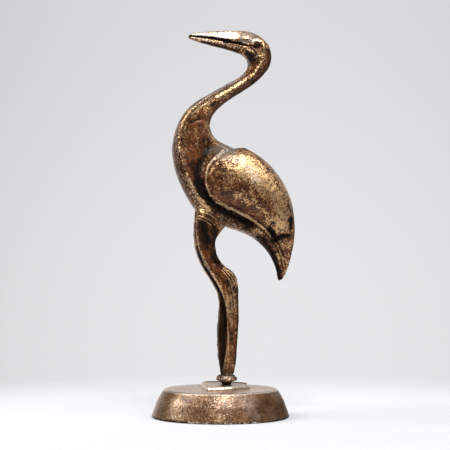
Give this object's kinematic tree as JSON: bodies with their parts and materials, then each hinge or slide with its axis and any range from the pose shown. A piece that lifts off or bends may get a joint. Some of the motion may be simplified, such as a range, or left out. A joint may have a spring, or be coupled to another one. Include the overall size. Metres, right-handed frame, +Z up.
{
  "type": "brass crane figurine",
  "caption": "Cast brass figurine of a standing crane with an S-curved neck and folded wings, on a round tapered plinth with a raised foot pad.",
  "frame": {"origin": "centre of the plinth's flat underside", "axes": "+Z up, the bird faces -X, its left side is at -Y"},
  "size_m": [0.0631, 0.0602, 0.1703],
  "materials": {
    "bird_brass": "aged cast brass, rubbed gold on ridges, wings and beak, with fine casting pits and nearly black brown patina in the hollows",
    "plinth_brass": "aged cast brass, mottled gold and brown with fine pits on the side, rubbed pale and smooth on the top face and the foot pad"
  },
  "bodies": {
    "root": {"crane": "bird_brass", "plinth": "plinth_brass"}
  },
  "joints": []
}
